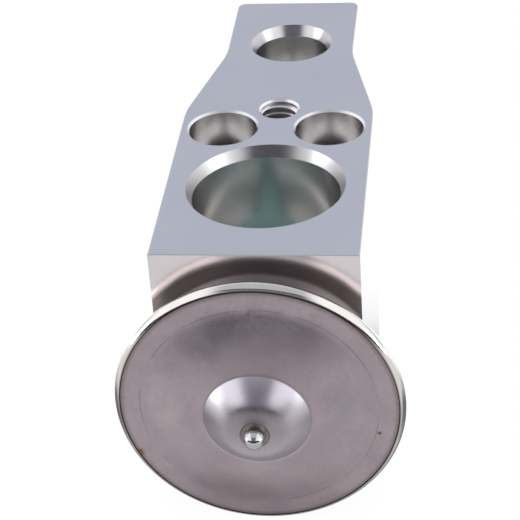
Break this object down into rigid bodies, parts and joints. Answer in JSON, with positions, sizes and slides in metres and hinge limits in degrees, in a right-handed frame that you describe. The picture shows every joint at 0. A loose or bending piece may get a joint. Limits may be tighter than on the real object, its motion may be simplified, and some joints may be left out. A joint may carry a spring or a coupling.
{
  "type": "thermostatic expansion valve",
  "caption": "Block-type thermostatic expansion valve: bottle-shaped aluminium body with pipe sockets and a round diaphragm head with a coned cover on one end.",
  "frame": {"origin": "midway between the two mounting screw holes, on the back face", "axes": "+Z out of the port face, +Y along the valve axis away from the diaphragm head, +X across the block"},
  "size_m": [0.0386, 0.0862, 0.0404],
  "materials": {
    "block_aluminium": "satin milled faces, smooth extruded sides",
    "cover_stainless": "dull pressed stainless with fine scratches",
    "weld_bead": "polished bead",
    "polished_ball": "polished steel ball",
    "thin_stainless": "thin bright sheet",
    "rod_aluminium": "fine turned",
    "sleeve_plastic": "moulded, teal",
    "seal_rubber": "smooth rubber",
    "seat_stainless": "ground",
    "spring_steel": "drawn wire",
    "screw_brass": "turned"
  },
  "bodies": {
    "block": {"valve_block": "block_aluminium", "head_upper_cover": "cover_stainless", "charge_plug": "polished_ball", "diaphragm": "thin_stainless", "head_lower_cover": "cover_stainless", "rim_weld": "weld_bead", "head_seal": "seal_rubber", "rod_seal": "seal_rubber", "seal_retainer": "thin_stainless", "seat_ring": "seat_stainless", "valve_spring": "spring_steel"},
    "lift": {"diaphragm_pad": "seat_stainless", "sensing_rod": "rod_aluminium", "rod_sleeve": "sleeve_plastic", "push_pin": "seat_stainless", "valve_ball": "polished_ball", "ball_carrier": "seat_stainless", "damper_ring": "thin_stainless"},
    "screw_travel": {"screw_seal": "seal_rubber"},
    "screw": {"adjusting_screw": "screw_brass"}
  },
  "joints": [
    {"name": "valve_lift", "type": "slide", "parent": "block", "child": "lift", "axis": [0, 1, 0], "range_m": [0, 0.0007], "stiffness_N_per_m": 3000, "springref_m": -0.0005, "deforming": ["valve_spring"]},
    {"name": "screw_advance", "type": "slide", "parent": "block", "child": "screw_travel", "axis": [0, 1, 0], "range_m": [-0.001, 0.001], "deforming": ["valve_spring"]},
    {"name": "screw_turn", "type": "hinge", "parent": "screw_travel", "child": "screw", "pos_m": [0, 0.0369, 0.01695], "axis": [0, 1, 0], "range_deg": [-360, 360]}
  ],
  "couplings": [
    {"joint": "screw_turn", "follows": "screw_advance", "rad_per_m": 6283}
  ]
}
